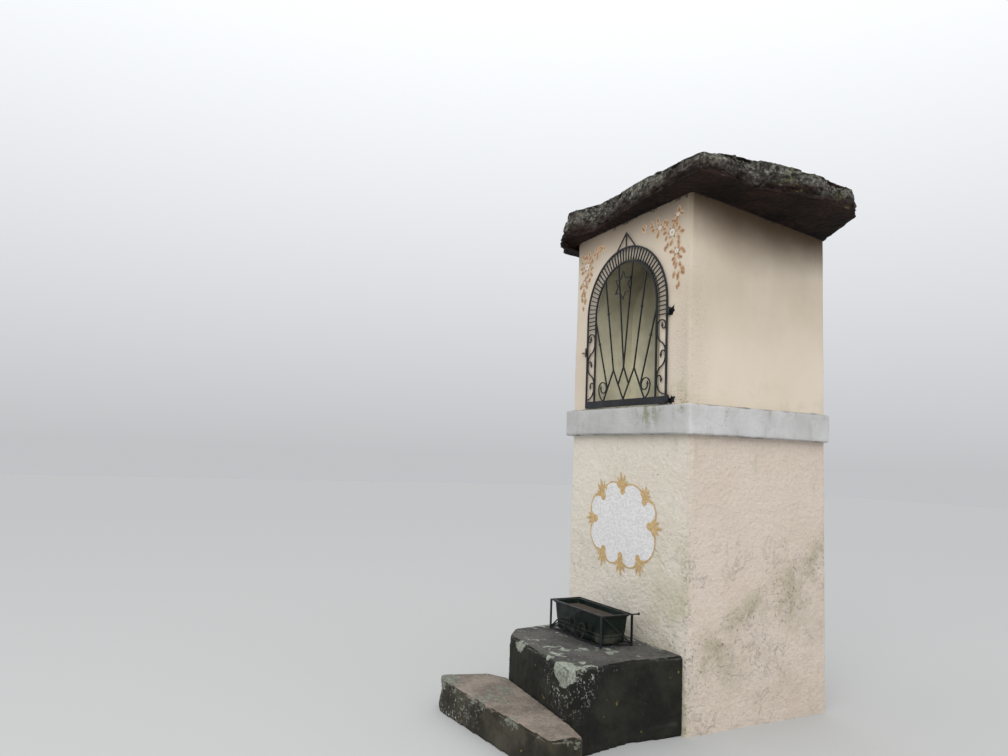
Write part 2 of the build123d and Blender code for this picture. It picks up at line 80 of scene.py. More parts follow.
lens = bpy.data.cameras.new("viewpoint")
lens.lens = lens_length
camera = in_scene("viewpoint", lens)
turn = Matrix((right, up, -forward)).transposed()
camera.matrix_world = Matrix.Translation(eye) @ turn.to_4x4()
bpy.context.scene.camera = camera
bpy.context.scene.view_settings.view_transform = "Standard"
print("camera at", [round(x, 2) for x in eye])

# %% [markdown]
# ## A toolbox for finishes
# Every finish is a tree of nodes on the Principled shader. Wiring nodes one by one is long,
# so a small class keeps the tree and adds one node per call. All patterns read Object
# coordinates, and every mesh has its place in its vertices, so one pattern runs
# on across pieces that meet.

# %% Finish class


class Finish:
    """A material whose nodes are added one call at a time. Each call hands back a socket."""

    def __init__(self, name, roughness, specular=0.5):
        self.material = bpy.data.materials.new(name)
        self.material.use_nodes = True
        self.tree = self.material.node_tree
        self.shader = self.tree.nodes["Principled BSDF"]
        self.shader.inputs["Roughness"].default_value = roughness
        self.shader.inputs["Specular IOR Level"].default_value = specular
        self.place = self.node("TexCoord").outputs["Object"]
        self.x, self.y, self.z = self.node("SeparateXYZ", _0=self.place).outputs

    def node(self, kind, settings=None, **inputs):
        """Adds one node. An input called _2 is meant by its number, and others by name."""
        made = self.tree.nodes.new("ShaderNode" + kind)
        for key, value in (settings or {}).items():
            setattr(made, key, value)
        for key, value in inputs.items():
            socket = made.inputs[int(key[1:])] if key[0] == "_" else made.inputs[key]
            if isinstance(value, bpy.types.NodeSocket):
                self.tree.links.new(value, socket)
            else:
                socket.default_value = value
        return made

    def stretched(self, stretch, shift=0.0):
        both = {"operation": "MULTIPLY_ADD"}
        return self.node("VectorMath", both, _0=self.place, _1=stretch, _2=(shift,) * 3).outputs[0]

    def noise(self, scale, detail=4.0, roughness=0.5, stretch=(1, 1, 1), shift=0.0):
        vector = self.stretched(stretch, shift)
        made = self.node("TexNoise", Vector=vector, Scale=scale, Detail=detail, Roughness=roughness)
        return made.outputs[0]

    def cells(self, scale, stretch=(1, 1, 1), shift=0.0):
        vector = self.stretched(stretch, shift)
        return self.node("TexVoronoi", Vector=vector, Scale=scale).outputs["Distance"]

    def facing(self, index):
        """How far a face points along one axis, from -1 to 1."""
        return self.node("SeparateXYZ", _0=self.node("NewGeometry").outputs["Normal"]).outputs[index]

    def step(self, value, low, high, start=0.0, end=1.0):
        """Goes smoothly from start to end as value goes from low to high."""
        smooth = {"interpolation_type": "SMOOTHSTEP"}
        return self.node("MapRange", smooth, _0=value, _1=low, _2=high, _3=start, _4=end).outputs[0]

    def math(self, operation, a, b=0.0, c=0.0):
        return self.node("Math", {"operation": operation}, _0=a, _1=b, _2=c).outputs[0]

    def minus(self, a, b):
        return self.math("SUBTRACT", a, b)

    def times(self, *values):
        product = values[0]
        for value in values[1:]:
            product = self.math("MULTIPLY", product, value)
        return product

    def spots(self, scale, detail, roughness, shift, low, high):
        """1 where a noise lies above high, and 0 where it lies below low."""
        return self.step(self.noise(scale, detail, roughness, shift=shift), low, high)

    def round_zero(self, pattern, size):
        """A pattern that lay round 0.5 now lies round 0, and is size times as strong."""
        return self.times(self.minus(pattern, 0.5), size)

    def mix(self, share, a, b):
        colours = [c if isinstance(c, bpy.types.NodeSocket) else (*c, 1) for c in (a, b)]
        made = self.node("Mix", {"data_type": "RGBA"}, _0=share, _6=colours[0], _7=colours[1])
        return made.outputs[2]

    def base(self, pattern, low, high, first, second):
        """The tone goes from first to second where a pattern goes from low to high."""
        self.tone = self.mix(self.step(pattern, low, high), first, second)

    def lay(self, colour, *shares):
        """Lays a colour over the tone so far, where all the shares let it through."""
        self.tone = self.mix(self.times(*shares), self.tone, colour)

    def rough(self, socket):
        self.tree.links.new(socket, self.shader.inputs["Roughness"])

    def finished(self, *layers):
        """Joins tone and relief to the shader. layers are (height, distance), the coarsest first."""
        self.tree.links.new(self.tone, self.shader.inputs["Base Color"])
        normal = None
        for height, distance in layers:
            made = self.node("Bump", Height=height, Distance=distance)
            if normal:
                self.tree.links.new(normal, made.inputs["Normal"])
            normal = made.outputs[0]
        self.tree.links.new(normal, self.shader.inputs["Normal"])
        return self.material


print("Finish keeps a material and adds nodes to it")

# %% [markdown]
# ## The walls' own sizes
# The finishes and the walls both need to know where the walls end and how the roof stone
# lies, because damp gathers right under it. The stone isn't level, so its underside is
# described as a plane that falls to the back and a little to the left.

# %% Sizes of the walls
corner_round = 0.014
pier_low, pier_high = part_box("left_pier")
right_pier_low, right_pier_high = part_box("right_pier")
back_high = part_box("niche_back")[1]
front_y, niche_back_y, back_y = pier_low.y, pier_high.y, back_high.y
left_x, right_x = pier_low.x, right_pier_high.x
niche_left, niche_right = pier_high.x, right_pier_low.x
niche_middle, niche_radius = (niche_left + niche_right) / 2, (niche_right - niche_left) / 2
floor_z, spring_z = pier_low.z, pier_high.z


def wall_height(node, x, y):
    """The highest point of a wall near one of its upright corners."""
    near = [v.co.z for v in nodes[node].data.vertices if hypot(v.co.x - x, v.co.y - y) < 2 * corner_round]
    return max(near)


top_left = wall_height("niche_head", left_x, front_y)
top_right = wall_height("niche_head", right_x, front_y)
top_back = wall_height("niche_back", right_x, back_y)
across_fall = (top_right - top_left) / (right_x - left_x)
back_fall = (top_back - top_right) / (back_y - front_y)


def roof_plane(x, y):
    """Height of the underside of the roof stone."""
    return top_left + across_fall * (x - left_x) + back_fall * (y - front_y)


print("niche", round(2 * niche_radius, 3), "wide, wall", round(top_right - floor_z, 3), "high")

# %% [markdown]
# ## Lime plaster
# The walls are rendered in a warm cream lime plaster. The upper block is floated smooth,
# and has painted shade right under the roof stone, where little light comes. A picture of a wall
# could be laid round the block, but it would repeat and blur close up. Here a base
# tone comes first, and each trace of the weather, and the painted light and shade, is
# laid over it, let through only where masks of height, distance and noise all say so.

# %% Plaster tones and masks
cream = (0.580, 0.492, 0.382)
pale_cream = (0.645, 0.560, 0.455)
algae = (0.37, 0.365, 0.18)
soot = (0.09, 0.085, 0.065)


def from_arris(made):
    """How far a place is from the right arris of the front, measured along the wall."""
    off_side = made.minus(right_x, made.x)
    return made.math("MAXIMUM", off_side, made.minus(made.y, front_y))


def on_front(made, depth=0.05):
    """1 on the front, and 0 from depth behind it."""
    return made.step(made.y, front_y + depth, front_y)


def on_right(made):
    """1 on the right side, and 0 from a little left of it."""
    return made.step(made.x, right_x - 0.03, right_x)


def under_roof(made):
    """How far a place is below the underside of the roof stone."""
    falls = (across_fall, back_fall, -1)
    fall = made.node("VectorMath", {"operation": "DOT_PRODUCT"}, _0=made.place, _1=falls)
    return made.math("ADD", fall.outputs["Value"], roof_plane(0, 0))


print("masks: from_arris, on_front, on_right, under_roof")

# %% Smooth plaster


def upper_plaster():
    made = Finish("upper_plaster", 0.88)
    x, y, height = made.x, made.y, made.minus(made.z, floor_z)
    beside, right_side = from_arris(made), on_right(made)
    clouds = made.noise(1.7, 5, 0.55)
    floated = made.noise(8.0, 3, 0.5, stretch=(1, 1, 0.5), shift=3)
    grain = made.noise(240, 4, 0.65)
    made.base(clouds, 0.35, 0.65, cream, pale_cream)
    made.lay((0.50, 0.41, 0.31), made.step(floated, 0.48, 0.70), 0.16)

    # Specks are rare high up and many low down, and fine holes lie along the arris
    low = made.step(height, 0.27, 0.04)
    rare = made.spots(4.5, 3, 0.5, 5, 0.50, 0.62)
    specks = made.spots(120, 2, 0.5, 8, 0.70, 0.76)
    made.lay(soot, specks, made.math("MAXIMUM", rare, low), 0.75)
    holes = made.spots(110, 4, 0.6, 29, 0.585, 0.64)
    by_arris = made.times(made.step(beside, 0.20, 0.05), made.step(height, 1.07, 0.17))
    made.lay((0.16, 0.14, 0.10), holes, by_arris, 0.55)

    # Dirt and green gather on the ledge right of the gate, and stain the wall's foot
    crumbs = made.spots(60, 4, 0.7, 20, 0.54, 0.60)
    at_foot = made.times(made.step(height, 0.08, 0.01), made.step(x, 0.25, 0.42), on_front(made, 0.1))
    made.lay((0.14, 0.13, 0.05), crumbs, at_foot, 0.8)
    green = made.spots(9, 5, 0.7, 14, 0.50, 0.66)
    made.lay((0.36, 0.34, 0.20), green, low, made.step(x, 0.10, 0.46), 0.45)

    # The right side has painted light low down, and painted shade of the stone reaches far down it
    made.lay((0.76, 0.66, 0.54), made.step(height, 0.67, 0.17), right_side, 0.60)
    below = under_roof(made)
    from_front = made.step(y, front_y, front_y + 0.3, 0.03, 0.13)
    to_back = made.step(y, front_y + 0.4, back_y, 0.13, 0.02)
    reach = made.math("MULTIPLY_ADD", right_side, made.math("MINIMUM", from_front, to_back), 0.27)
    shade = made.math("ADD", below, made.round_zero(made.noise(3.5, 4, 0.6, shift=15), 0.10))
    strength = made.math("MULTIPLY_ADD", right_side, 0.27, 0.71)
    made.lay((0.090, 0.053, 0.024), made.step(shade, reach, 0.0), strength)
    ragged = made.step(made.noise(20, 6, 0.75, shift=11), 0.46, 0.72, 0.001, 0.026)
    made.lay((0.045, 0.034, 0.025), made.step(made.minus(below, ragged), 0.005, -0.005), 0.9)
    # Painted shade dulls the lamp's highlight along the rounded arris
    made.lay((0.42, 0.35, 0.26), made.step(beside, 0.020, 0.004, 0.0, 0.22))
    rough = made.times(made.step(beside, 0.24, 0.04), made.step(height, 1.07, 0.32))
    cast = made.times(made.noise(85, 5, 0.65, shift=28), rough)
    return made.finished((floated, 0.0015), (cast, 0.0075), (grain, 0.0006))


plaster_smooth = upper_plaster()
print("finish:", plaster_smooth.name)

# %% [markdown]
# ## Rough plaster
# The plinth has a coarser coat that has stood in splashing rain: it has dark pits, grey
# runs, green algae low on the right, and a damp line that climbs to the back. The same
# masks are used with other numbers, because both coats are the same mix.

# %% Rough plaster
damp_height, damp_rise = 0.40, 0.55


def lower_plaster():
    made = Finish("lower_plaster", 0.92)
    x, y, z = made.x, made.y, made.z
    beside, front = from_arris(made), on_front(made)
    clouds = made.noise(2.4, 5, 0.6, shift=2)
    grain = made.noise(150, 5, 0.7)
    dabs = made.noise(42, 4, 0.6, shift=4)
    floated = made.noise(15, 5, 0.65, stretch=(1, 1, 1.5), shift=18)
    made.base(clouds, 0.36, 0.64, (0.655, 0.575, 0.470), (0.72, 0.650, 0.555))
    made.lay((0.62, 0.575, 0.415), made.spots(9, 7, 0.75, 45, 0.46, 0.60), 0.34)
    made.lay((0.80, 0.735, 0.62), made.spots(55, 4, 0.7, 46, 0.56, 0.66), 0.5)
    made.lay((0.69, 0.556, 0.484), on_right(made), 0.5)
    made.lay((0.78, 0.73, 0.65), made.step(x, 0.05, -0.45, 0.30, 0.52), front)
    made.lay((0.50, 0.43, 0.33), made.step(dabs, 0.50, 0.70), 0.20)
    streak = made.noise(11, 6, 0.7, stretch=(1, 1, 0.28), shift=7)
    under_ledge = made.step(z, 0.90, 1.50, 0.35, 1.35)
    made.lay((0.42, 0.40, 0.27), made.step(streak, 0.55, 0.74), under_ledge, 0.30)

    # Algae grow low on the front's right half and along the damp line
    damp_foot = made.math("MULTIPLY_ADD", y, damp_rise, damp_height - damp_rise * front_y)
    above = made.minus(z, damp_foot)
    damp_line = made.times(made.step(above, 0.12, -0.03), made.step(above, -0.40, -0.10, 0.30, 1.0))
    patch = made.noise(6.0, 7, 0.7, shift=9)
    damp = made.noise(3.4, 6, 0.65, shift=19)
    low_right = made.times(made.step(z, 1.25, 0.45, 0.0, 0.68), front, made.step(x, 0.02, 0.34))
    low_right = made.times(low_right, made.step(damp, 0.40, 0.62))
    along_line = made.times(damp_line, made.step(patch, 0.46, 0.62), 0.5)
    made.lay(algae, made.math("MAXIMUM", low_right, along_line), 0.62)
    made.lay((0.27, 0.23, 0.15), made.step(above, 0.08, -0.06), damp_line, made.step(patch, 0.36, 0.64), 0.32)

    # Pits lie in patches on the front, near the arris and along the damp line
    holes = made.noise(75, 5, 0.62, shift=6)
    in_patches = made.spots(5.5, 5, 0.7, 12, 0.60, 0.68)
    in_patches = made.times(in_patches, made.step(x, right_x + 0.01, right_x - 0.02, 0.35, 1.0))
    near_arris = made.times(made.step(beside, 0.085, 0.005), made.step(z, 1.45, 0.7, 0.0, 0.58))
    worn = made.math("MAXIMUM", in_patches, near_arris)
    worn = made.math("MAXIMUM", worn, made.times(damp_line, 0.6))
    # Painted shade dulls the lamp's highlight along the rounded arris
    made.lay((0.44, 0.39, 0.30), made.step(beside, 0.022, 0.004, 0.0, 0.28))
    pits = made.times(made.step(made.math("ADD", holes, made.times(near_arris, 0.05)), 0.60, 0.66), worn)
    made.lay(soot, pits, 0.85)

    # Thin sheets have come loose low down, which shows in the relief alone
    peeled = made.times(made.step(z, 1.20, 0.80), made.spots(2.7, 3, 0.5, 17, 0.42, 0.56))
    loose = made.times(made.spots(6.5, 8, 0.62, 16, 0.530, 0.560), peeled)
    pitted = made.minus(grain, pits)
    return made.finished((floated, 0.0080), (loose, 0.0030), (dabs, 0.0080), (pitted, 0.0034))


plaster_rough = lower_plaster()
print("finish:", plaster_rough.name)

# %% Paint inside the niche, with painted shade and painted light


def niche_wash_and_shade():
    made = Finish("niche_wash_and_shade", 0.9)
    clouds = made.noise(4.0, 5, 0.6, shift=13)
    grain = made.noise(200, 4, 0.65)
    # The olive wash is set much darker, as painted shade of the deep niche, and painted light makes the left
    # side paler, most of all low down
    made.base(clouds, 0.36, 0.64, (0.108, 0.094, 0.049), (0.165, 0.149, 0.087))
    painted_light_leftward = made.step(made.x, niche_right - 0.12, niche_left - 0.02)
    low = made.step(made.z, floor_z + 0.77, floor_z + 0.12, 0.35, 1.0)
    made.lay((0.80, 0.755, 0.565), painted_light_leftward, low, made.step(clouds, 0.25, 0.60, 0.65, 1.0))
    return made.finished((clouds, 0.003), (grain, 0.0012))


niche_paint_and_shade = niche_wash_and_shade()
print("finish:", niche_paint_and_shade.name)

# %% [markdown]
# ## Putting a finished mesh into the scene
# Each new piece is shaped in a bmesh. When it is done, its doubles are merged, its normals
# are turned outwards and its shallow edges are shaded smooth. It then rides on its body
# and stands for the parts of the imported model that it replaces.

# %% Placing helper
triangles_made = {}
same_place = 1e-5


def place(bm, name, material, body="shrine", replaces=(), sharp_from=38):
    bmesh.ops.remove_doubles(bm, verts=bm.verts, dist=same_place)
    bmesh.ops.recalc_face_normals(bm, faces=bm.faces)
    triangles_made[name] = sum(len(f.verts) - 2 for f in bm.faces)
    mesh = bpy.data.meshes.new(name)
    bm.to_mesh(mesh)
    bm.free()
    mesh.shade_smooth()
    mesh.set_sharp_from_angle(angle=radians(sharp_from))
    for one in material if isinstance(material, (list, tuple)) else [material]:
        mesh.materials.append(one)
    piece = in_scene(name, mesh)
    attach(piece, body)
    if replaces:
        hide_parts(*replaces)
    print(name, triangles_made[name], "triangles")
    return piece


# %% [markdown]
# ## Hands leave waves
# No wall of such a shrine is flat: the float leaves shallow waves, and the weather rounds
# them. A Displace modifier could do this with a texture. Moving each point along its
# normal by fractal noise gives the same result in one line, and stays in the mesh.

# %% Unevenness helper


def uneven(bm, depth, size, seed, octaves=4, share=None):
    """Moves each point along its normal by up to depth, in waves of about size."""
    bm.normal_update()
    shift = Vector((17.3, 5.1, 9.7)) * seed
    moves = []
    for v in bm.verts:
        wave = noise.fractal((v.co + shift) / size, 1.0, 2.0, octaves)
        moves.append(v.normal * wave * depth * (share(v.co) if share else 1.0))
    for v, move in zip(bm.verts, moves):
        v.co += move


def edges_along(bm, axis, shortest=0.0):
    """Edges that run along one axis and are longer than shortest."""
    found = []
    for e in bm.edges:
        run = e.verts[1].co - e.verts[0].co
        if run.length > shortest and abs(run[axis]) > 0.99 * run.length:
            found.append(e)
    return found


def cut_along(bm, axis, cell):
    """Cuts every long edge that runs along one axis into pieces of about cell."""
    for e_length in {round(e.calc_length(), 4) for e in edges_along(bm, axis, 1.5 * cell)}:
        same = [e for e in edges_along(bm, axis, 1.5 * cell) if round(e.calc_length(), 4) == e_length]
        bmesh.ops.subdivide_edges(bm, edges=same, cuts=ceil(e_length / cell) - 1)


def rounded(bm, parts, offset, segments, affect="EDGES"):
    """Rounds edges, or corners when affect says VERTICES."""
    bmesh.ops.bevel(
        bm, geom=parts, offset=offset, segments=segments,
        affect=affect, offset_type="OFFSET", profile=0.5, material=-1,
    )


def rounded_block(low, high, corner, rim, cell):
    """A box whose upright corners and rims are rounded, cut into cells."""
    bm = bmesh.new()
    bmesh.ops.create_cube(bm, size=1)
    bmesh.ops.scale(bm, vec=high - low, verts=bm.verts)
    bmesh.ops.translate(bm, vec=(low + high) / 2, verts=bm.verts)
    rounded(bm, edges_along(bm, 2), corner, 4)
    if rim:
        ends = [f for f in bm.faces if abs(f.normal.z) > 0.99]
        rounded(bm, list({e for f in ends for e in f.edges}), rim, 3)
    for axis in range(3):
        cut_along(bm, axis, cell)
    return bm


print("helpers: uneven, rounded, rounded_block")

# %% [markdown]
# ## The plinth
# The lower block goes straight down into the ground. Its arrises are knocked round by
# hand, and the right one at the front has lost small chips. The chips are a stronger
# noise that is let through only close to that arris.

# %% Plinth
low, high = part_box("plinth")
wall_cell = 0.022
calm_rim = 0.03
chip_reach, chips_end, chips_fade = 0.06, 1.35, 0.9
bm = rounded_block(low, high, corner_round, rim=0, cell=wall_cell)


def near_front_arris(co):
    away = hypot(co.x - high.x, co.y - low.y)
    return max(0.0, 1 - away / chip_reach) * min(1.0, max(0.0, (chips_end - co.z) / chips_fade))


def off_the_ends(co):
    return min(1.0, (co.z - low.z) / calm_rim, (high.z - co.z) / calm_rim)


uneven(bm, depth=0.0030, size=0.45, seed=1, share=off_the_ends)
uneven(bm, depth=0.0012, size=0.07, seed=2, share=off_the_ends)
uneven(
    bm, depth=0.0080, size=0.035, seed=3, octaves=3,
    share=lambda co: off_the_ends(co) * near_front_arris(co),
)
plinth_wall = BVHTree.FromBMesh(bm)
place(bm, "plinth_plaster", plaster_rough, replaces=["plinth"])

# %% [markdown]
# ## The upper block and its niche
# The upper block is one coat of smooth plaster that also turns into the niche. A Boolean
# could cut the niche out of a box, but it leaves slivers along the arch that spoil the
# rounded arris. Here two outlines are drawn instead, the arch and the wall's own edge,
# with as many edges in each part, and a bridge joins them to the front face.

# %% Helpers for outlines that are pushed along


def vert_at(bm, spot):
    """The point of a mesh that is nearest to a spot."""
    return min(bm.verts, key=lambda v: (v.co - Vector(spot)).length_squared)


def chain(bm, points, cuts):
    """Edges from point to point, each cut into as many parts as cuts says."""
    bm.verts.new(points[0])
    for a, b, parts in zip(points, points[1:], cuts):
        edge = bm.edges.new((vert_at(bm, a), bm.verts.new(b)))
        if parts > 1:
            bmesh.ops.subdivide_edges(bm, edges=[edge], cuts=parts - 1)


def pushed(bm, edges, change):
    """Extrudes edges once, changes the new vertices, and hands back the new far edges."""
    made = bmesh.ops.extrude_edge_only(bm, edges=edges)["geom"]
    fresh = {g for g in made if isinstance(g, bmesh.types.BMVert)}
    for v in fresh:
        v.co = change(v.co)
    return [g for g in made if isinstance(g, bmesh.types.BMEdge) and all(v in fresh for v in g.verts)]


def pushed_back(bm, edges, run, rows):
    """Extrudes edges straight back by run, in as many rows as rows says."""
    for row in range(rows):
        edges = pushed(bm, edges, lambda co: co + Vector((0, run / rows, 0)))
    return edges


def closed_in(bm, edges, centre, rings):
    """Draws edges in towards a point in several rings, and closes the last one."""
    for ring in range(rings):
        share = 1 - 1 / (rings - ring + 0.5)
        edges = pushed(bm, edges, lambda co: centre + (co - centre) * share)
    bmesh.ops.pointmerge(bm, verts=list({v for e in edges for v in e.verts}), merge_co=centre)


print("helpers: chain, pushed, pushed_back, closed_in")

# %% Upper block
arch_steps = 28
side_rows = ceil((spring_z - floor_z) / wall_cell)
shoulder_rows = 8
ring_columns = 12
back_rings, niche_rings = 24, 12
niche_arris = 0.008

bm = bmesh.new()
chain(bm, [(niche_right, front_y, floor_z), (niche_right, front_y, spring_z)], [side_rows])
bmesh.ops.spin(
    bm, geom=[vert_at(bm, (niche_right, front_y, spring_z))], cent=(niche_middle, front_y, spring_z),
    axis=(0, -1, 0), dvec=(0, 0, 0), angle=pi, steps=arch_steps,
    use_duplicate=False, use_merge=False, use_normal_flip=False,
)
shoulder = vert_at(bm, (niche_left, front_y, spring_z))
toe = bm.verts.new((niche_left, front_y, floor_z))
bmesh.ops.subdivide_edges(bm, edges=[bm.edges.new((shoulder, toe))], cuts=side_rows - 1)
inner = list(bm.edges)
chain(
    bm,
    [
        (right_x, front_y, floor_z), (right_x, front_y, spring_z), (right_x, front_y, top_right),
        (left_x, front_y, top_left), (left_x, front_y, spring_z), (left_x, front_y, floor_z),
    ],
    [side_rows, shoulder_rows, arch_steps - 2 * shoulder_rows, shoulder_rows, side_rows],
)
outer = [e for e in bm.edges if e not in set(inner)]
bmesh.ops.bridge_loops(bm, edges=inner + outer)
spokes = [e for e in bm.edges if e not in set(inner) | set(outer)]
bmesh.ops.subdivide_edges(bm, edges=spokes, cuts=ring_columns - 1, use_grid_fill=True)

row = pushed_back(bm, outer, back_y - front_y, ceil((back_y - front_y) / wall_cell))
for v in bm.verts:
    if v.co.y > front_y + 1e-6:
        full = roof_plane(v.co.x, front_y) - floor_z
        v.co.z = floor_z + (v.co.z - floor_z) * (roof_plane(v.co.x, v.co.y) - floor_z) / full
closed_in(bm, row, Vector((0, back_y, floor_z)), back_rings)

row = pushed_back(bm, inner, niche_back_y - front_y, ceil((niche_back_y - front_y) / wall_cell))
closed_in(bm, row, Vector((niche_middle, niche_back_y, floor_z)), niche_rings)
print(len(bm.faces), "faces before the arrises are rounded")

# %% Arrises, waves and the niche's paint with its painted shade
touching = 1e-4


def upright_edges(x, y):
    near = [v for v in bm.verts if abs(v.co.x - x) < touching and abs(v.co.y - y) < touching]
    return [e for e in bm.edges if e.verts[0] in near and e.verts[1] in near]


bm.verts.ensure_lookup_table()
arrises = [e for x in (left_x, right_x) for y in (front_y, back_y) for e in upright_edges(x, y)]
rounded(bm, arrises, corner_round, 3)


def on_niche_edge(v):
    up = max(0.0, v.co.z - spring_z)
    reach = hypot(v.co.x - niche_middle, up)
    return abs(v.co.y - front_y) < touching and abs(reach - niche_radius) < 10 * touching


rounded(bm, [e for e in bm.edges if all(on_niche_edge(v) for v in e.verts)], niche_arris, 3)
bmesh.ops.holes_fill(bm, edges=[e for e in bm.edges if e.is_boundary], sides=0)


def above_floor(co):
    return min(1.0, max(0.0, (co.z - floor_z) / 0.04))


uneven(bm, depth=0.0032, size=0.5, seed=4, share=above_floor)
uneven(bm, depth=0.0010, size=0.09, seed=5, share=above_floor)
for f in bm.faces:
    centre = f.calc_center_median()
    off_middle = hypot(centre.x - niche_middle, max(0.0, centre.z - spring_z))
    if off_middle < niche_radius + 0.01 and front_y + niche_arris < centre.y < niche_back_y + 0.02:
        f.material_index = 1
upper_wall = BVHTree.FromBMesh(bm)
place(
    bm, "upper_plaster", [plaster_smooth, niche_paint_and_shade],
    replaces=["left_pier", "right_pier", "niche_head", "niche_back"],
)

# %% [markdown]
# ## The string course
# The grey band between the two blocks is cast in cement and left bare. It is a plain
# block with rounded corners and rims. Grime gathers on its top, with painted shade under the gate,
# and moss where the gate drips, so the finish looks at height and at which way a face points.

# %% Ledge
drip_x = 0.26
gate_half = 0.41


def grey_cement():
    made = Finish("grey_cement", 0.9)
    x, height = made.x, made.minus(made.z, floor_z)
    clouds = made.noise(4.2, 5, 0.6, shift=21)
    grain = made.noise(210, 4, 0.65)
    sand = made.cells(170, shift=22)
    made.base(clouds, 0.34, 0.66, (0.492, 0.485, 0.474), (0.602, 0.594, 0.584))
    runs = made.noise(13, 6, 0.72, stretch=(1, 1, 0.4), shift=23)
    made.lay((0.27, 0.26, 0.22), made.step(runs, 0.52, 0.72), 0.45)
    made.lay((0.36, 0.36, 0.34), made.step(made.facing(1), -0.5, -0.9), 0.4)
    upward = made.step(made.facing(2), 0.35, 0.8)
    made.lay((0.55, 0.50, 0.42), upward, 0.55)
    patch = made.noise(9, 5, 0.7, shift=24)
    moss = made.times(made.step(x, 0.12, 0.50), made.step(patch, 0.55, 0.66))
    made.lay((0.17, 0.18, 0.07), moss, made.step(height, -0.08, -0.005), 0.8)
    drip = made.step(made.noise(30, 6, 0.75, stretch=(1, 1, 0.35), shift=26), 0.44, 0.58)
    off_drip = made.math("ABSOLUTE", made.minus(x, drip_x))
    drip = made.times(drip, made.step(off_drip, 0.16, 0.02), on_front(made, 0.02))
    made.lay((0.20, 0.21, 0.11), drip, made.step(height, -0.18, -0.04), 0.75)
    # Grime and painted shade darken the top right under the gate
    off_gate = made.math("ABSOLUTE", made.minus(x, niche_middle))
    grime_and_shade_under_gate = made.step(off_gate, gate_half + 0.03, gate_half - 0.03)
    made.lay((0.10, 0.095, 0.080), upward, grime_and_shade_under_gate, 0.8)
    dents = made.noise(34, 5, 0.65, shift=27)
    pits = made.times(made.step(made.cells(60, shift=25), 0.16, 0.05), made.step(patch, 0.45, 0.6))
    made.lay((0.12, 0.12, 0.10), pits, 0.8)
    return made.finished((dents, 0.0050), (sand, 0.0014), (made.minus(grain, pits), 0.0024))


low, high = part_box("ledge")
bm = rounded_block(low, high, corner=0.030, rim=0.009, cell=0.018)
uneven(bm, depth=0.0030, size=0.30, seed=6)
uneven(bm, depth=0.0018, size=0.05, seed=7)
place(bm, "cement_ledge", grey_cement(), replaces=["ledge"])

# %% [markdown]
# ## Rough stone
# The roof and the steps are stones as they came from the quarry, split and hardly dressed.
# Sculpting by hand would do it, but can't be repeated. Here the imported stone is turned
# into an even skin of small squares, and every point of it sinks by a depth that has
# three sources: layers of the rock, slanting broken faces, and grain. Points only
# sink, so a stone never grows past its packed size.

# %% Stone helpers


def even_skin(node, cell):
    """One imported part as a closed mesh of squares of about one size."""
    bm = bmesh.new()
    bm.from_mesh(nodes[node].data)
    bmesh.ops.remove_doubles(bm, verts=bm.verts, dist=same_place)
    solid = bpy.data.meshes.new(node + "_skin")
    bm.to_mesh(solid)
    bm.clear()
    helper = in_scene(node + "_skin", solid)
    remesh = helper.modifiers.new("even", "REMESH")
    remesh.mode = "VOXEL"
    remesh.voxel_size = cell
    bpy.context.view_layer.update()
    seen = helper.evaluated_get(bpy.context.evaluated_depsgraph_get())
    bm.from_mesh(seen.to_mesh())
    seen.to_mesh_clear()
    bpy.data.objects.remove(helper)
    bpy.data.meshes.remove(solid)
    return bm


def broken_face(co, size, seed):
    """From about 0 to 1: one level and one slant for each broken face of about size."""
    at = co / size + Vector((seed, 2 * seed, 3 * seed))
    centre = noise.voronoi(at)[1][0]
    slant = noise.cell_vector(centre * 5.3) - Vector((0.5, 0.5, 0.5))
    return min(1.0, max(0.0, 0.2 + 0.6 * noise.cell(centre * 7.1) + (at - centre).dot(slant)))


def grain_at(co, size, seed):
    """Fractal noise from 0 to about 1."""
    return 0.5 + 0.5 * noise.fractal((co + Vector((seed, seed, seed))) / size, 1.0, 2.0, 4)


def sunk(bm, depth_at):
    """Every point sinks along its normal by what depth_at(place, normal) gives."""
    bm.normal_update()
    moves = [v.normal * -depth_at(v.co, v.normal) for v in bm.verts]
    for v, move in zip(bm.verts, moves):
        v.co += move


print("helpers: even_skin, broken_face, grain_at, sunk")

# %% Roof stone finish


